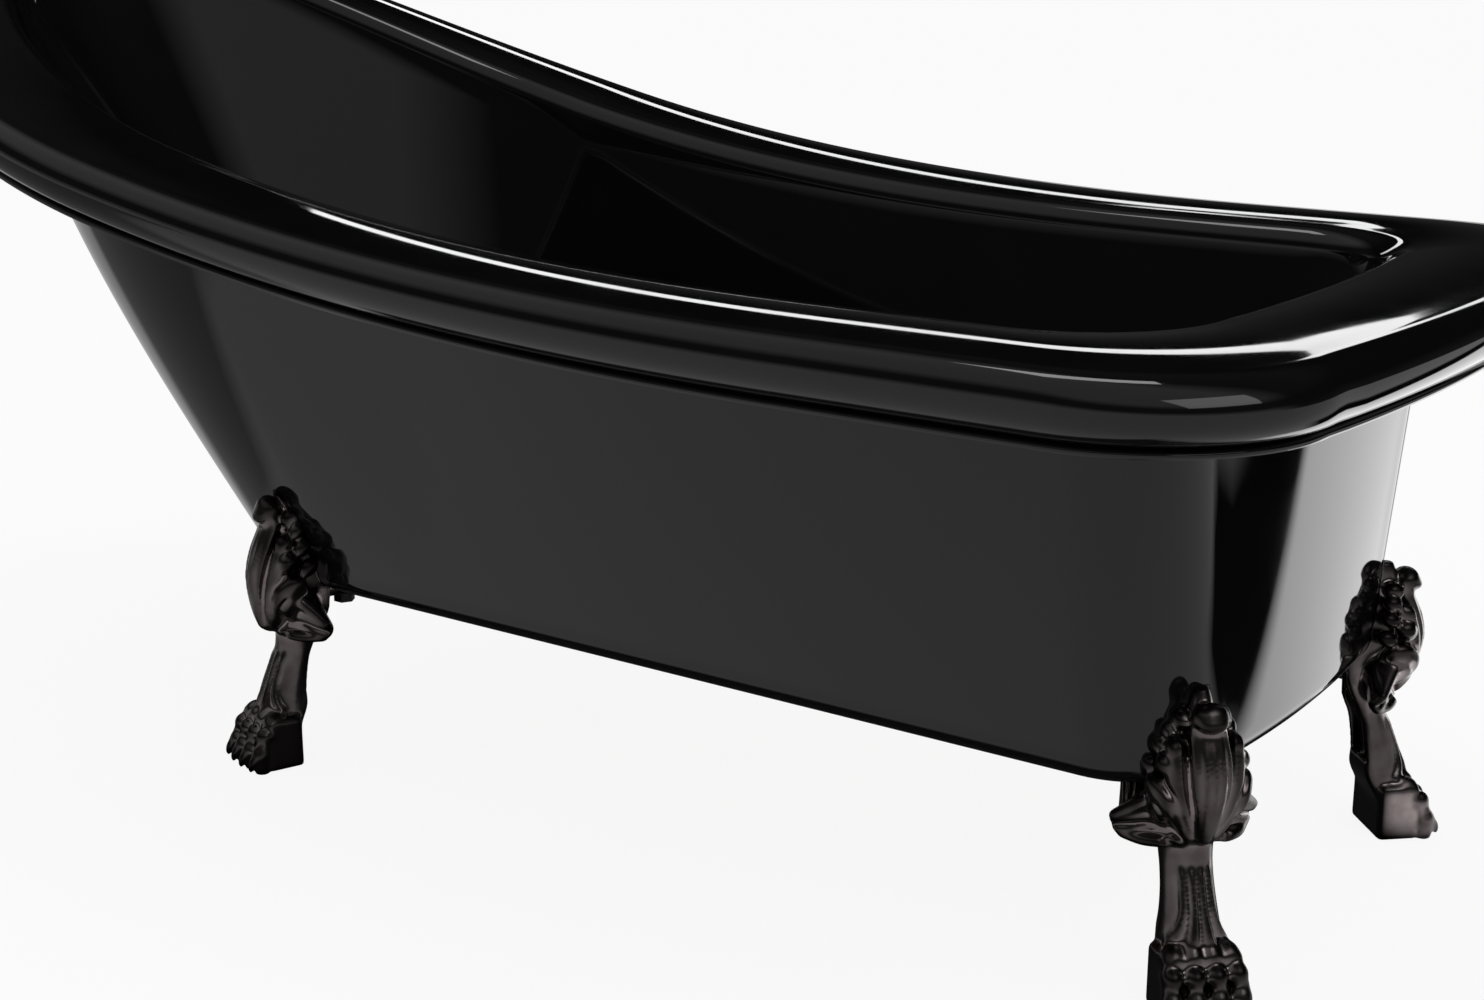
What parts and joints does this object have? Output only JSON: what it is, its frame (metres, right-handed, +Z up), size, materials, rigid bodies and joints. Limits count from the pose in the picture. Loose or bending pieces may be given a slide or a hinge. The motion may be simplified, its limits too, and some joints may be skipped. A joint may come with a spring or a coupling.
{
  "type": "freestanding bathtub",
  "caption": "Freestanding slipper bathtub with a thick rolled rim, high sloping head end and cast lion-paw feet with leaves.",
  "frame": {"origin": "on the floor under the middle of the bath", "axes": "+X towards the low foot end with the waste, +Z up, +Y to the left seen from the high head end"},
  "size_m": [1.55, 0.75, 0.7248],
  "materials": {
    "black_acrylic": "high gloss",
    "black_acrylic_skin": "high gloss",
    "board": "sealed board",
    "rail_paint": "powder coat",
    "zinc_steel": "zinc plated",
    "chrome": "polished",
    "rubber": "matte",
    "brass": "as machined",
    "hose_plastic": "matte",
    "foot_metal": "polished dark finish",
    "pad_plastic": "matte"
  },
  "bodies": {
    "tub": {"basin": "black_acrylic", "outer_skin": "black_acrylic_skin", "floor_board": "board", "bearer_rail_left": "rail_paint", "bearer_rail_right": "rail_paint", "backing_plates": "zinc_steel", "foot_bolts": "zinc_steel", "foot_washers": "zinc_steel", "foot_nuts": "zinc_steel", "drain_flange": "chrome", "drain_gasket": "rubber", "drain_locknut": "brass", "drain_body": "brass", "plug_guide": "brass", "overflow_cover": "chrome", "overflow_gasket": "rubber", "overflow_elbow": "brass", "overflow_hose": "hose_plastic", "hose_clips": "zinc_steel", "foot_head_right": "foot_metal", "foot_head_left": "foot_metal", "foot_drain_right": "foot_metal", "foot_drain_left": "foot_metal"},
    "plug": {"plug_cap": "chrome", "plug_seal": "rubber"},
    "pad_head_right": {"leveller_pad_head_right": "pad_plastic"},
    "screw_head_right": {"leveller_screw_head_right": "zinc_steel"},
    "pad_head_left": {"leveller_pad_head_left": "pad_plastic"},
    "screw_head_left": {"leveller_screw_head_left": "zinc_steel"},
    "pad_drain_right": {"leveller_pad_drain_right": "pad_plastic"},
    "screw_drain_right": {"leveller_screw_drain_right": "zinc_steel"},
    "pad_drain_left": {"leveller_pad_drain_left": "pad_plastic"},
    "screw_drain_left": {"leveller_screw_drain_left": "zinc_steel"}
  },
  "joints": [
    {"name": "plug_lift", "type": "slide", "parent": "tub", "child": "plug", "axis": [0, 0, 1], "range_m": [0, 0.01]},
    {"name": "pad_slide_head_right", "type": "slide", "parent": "tub", "child": "pad_head_right", "axis": [0, 0, -1], "range_m": [0, 0.01]},
    {"name": "screw_turn_head_right", "type": "hinge", "parent": "pad_head_right", "child": "screw_head_right", "pos_m": [-0.17776, -0.23598, 0.02], "axis": [0, 0, -1], "range_deg": [0, 2396]},
    {"name": "pad_slide_head_left", "type": "slide", "parent": "tub", "child": "pad_head_left", "axis": [0, 0, -1], "range_m": [0, 0.01]},
    {"name": "screw_turn_head_left", "type": "hinge", "parent": "pad_head_left", "child": "screw_head_left", "pos_m": [-0.17776, 0.23598, 0.02], "axis": [0, 0, -1], "range_deg": [0, 2396]},
    {"name": "pad_slide_drain_right", "type": "slide", "parent": "tub", "child": "pad_drain_right", "axis": [0, 0, -1], "range_m": [0, 0.01]},
    {"name": "screw_turn_drain_right", "type": "hinge", "parent": "pad_drain_right", "child": "screw_drain_right", "pos_m": [0.66015, -0.18354, 0.02], "axis": [0, 0, -1], "range_deg": [0, 2396]},
    {"name": "pad_slide_drain_left", "type": "slide", "parent": "tub", "child": "pad_drain_left", "axis": [0, 0, -1], "range_m": [0, 0.01]},
    {"name": "screw_turn_drain_left", "type": "hinge", "parent": "pad_drain_left", "child": "screw_drain_left", "pos_m": [0.66015, 0.18354, 0.02], "axis": [0, 0, -1], "range_deg": [0, 2396]}
  ],
  "couplings": [
    {"joint": "pad_slide_head_right", "follows": "screw_turn_head_right", "m_per_rad": 0.00023873},
    {"joint": "pad_slide_head_left", "follows": "screw_turn_head_left", "m_per_rad": 0.00023873},
    {"joint": "pad_slide_drain_right", "follows": "screw_turn_drain_right", "m_per_rad": 0.00023873},
    {"joint": "pad_slide_drain_left", "follows": "screw_turn_drain_left", "m_per_rad": 0.00023873}
  ]
}
